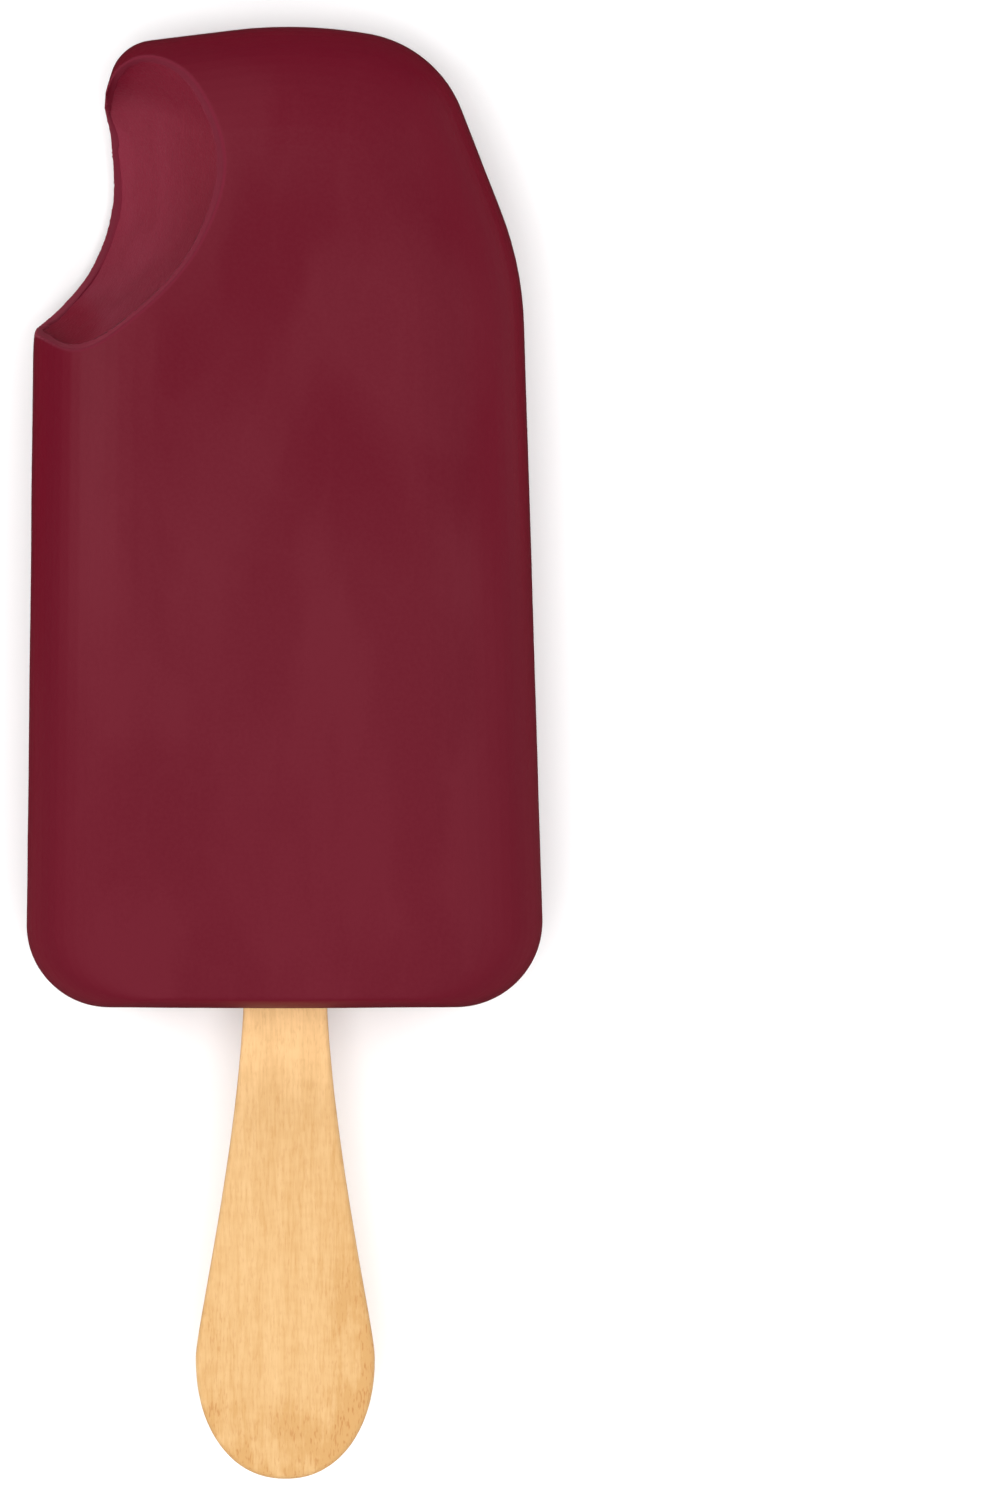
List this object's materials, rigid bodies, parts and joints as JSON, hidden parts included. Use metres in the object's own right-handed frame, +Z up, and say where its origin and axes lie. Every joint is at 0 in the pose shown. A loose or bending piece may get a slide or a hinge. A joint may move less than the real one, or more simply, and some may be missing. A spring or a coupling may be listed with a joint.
{
  "type": "ice pop",
  "caption": "Flat, round-shouldered bar of dark red fruit ice with one bite taken at its upper left, a thin outer shell round a softer core, on a flat paddle-shaped wooden stick.",
  "frame": {"origin": "Middle of the whole pop's length and width, on the flat surface that its back lies on.", "axes": "+Y from the stick to the bar's top, +Z up out of the bitten face, +X to the right of the face."},
  "size_m": [0.0507, 0.1427, 0.025],
  "materials": {
    "ice_shell": "Smooth frozen fruit ice, dark wine red, with a faint pale frost and a soft satin sheen.",
    "ice_core": "Bitten fruit ice, slightly lighter than the shell, with a fine wet grain.",
    "stick_wood": "Bare pale birch, sanded smooth, with fine long grain and short brown flecks."
  },
  "bodies": {
    "root": {"shell": "ice_shell", "core": "ice_core", "stick": "stick_wood"}
  },
  "joints": []
}
